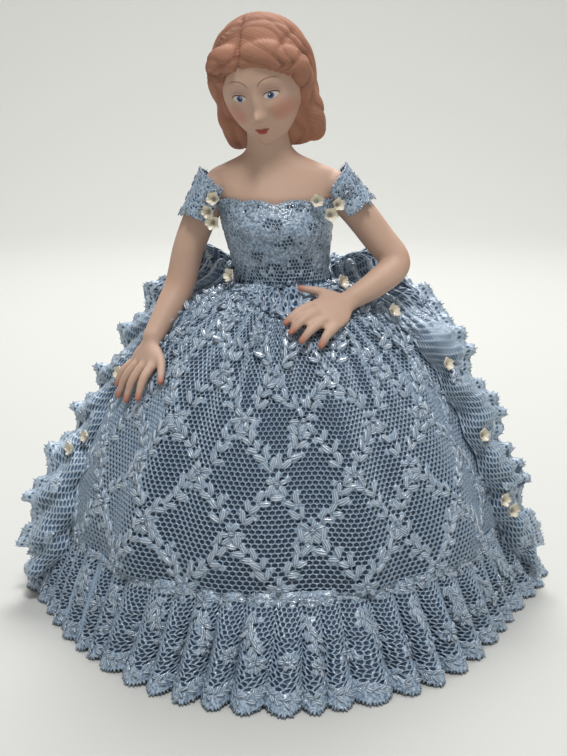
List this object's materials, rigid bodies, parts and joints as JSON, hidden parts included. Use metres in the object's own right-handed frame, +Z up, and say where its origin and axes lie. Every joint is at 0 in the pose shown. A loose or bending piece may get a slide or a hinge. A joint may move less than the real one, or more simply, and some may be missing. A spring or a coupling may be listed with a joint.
{
  "type": "lace porcelain figurine",
  "caption": "Porcelain lady figurine in a wide bell gown of blue fused lace, with a pleated hem flounce, a draped bustle overskirt, off-shoulder sleeves and small cream flowers.",
  "frame": {"origin": "middle of the bounding box on the surface that the hem stands on", "axes": "+Z up through the head, -Y towards the side that the figure faces, +X towards the figure's left hand"},
  "size_m": [0.1772, 0.1778, 0.1819],
  "materials": {
    "bisque": "matte",
    "lace": "satin",
    "lace_ground": "satin",
    "flower": "gloss"
  },
  "bodies": {
    "root": {"figure": "bisque", "bodice": "lace", "sleeve_right": "lace", "sleeve_left": "lace", "skirt": "lace_ground", "hem_flounce": "lace", "overskirt": "lace", "flower_01": "flower", "flower_02": "flower", "flower_03": "flower", "flower_04": "flower", "flower_05": "flower", "flower_06": "flower", "flower_07": "flower", "flower_08": "flower", "flower_09": "flower", "flower_10": "flower", "flower_11": "flower", "flower_12": "flower", "flower_13": "flower", "flower_14": "flower", "flower_15": "flower", "flower_16": "flower"}
  },
  "joints": []
}
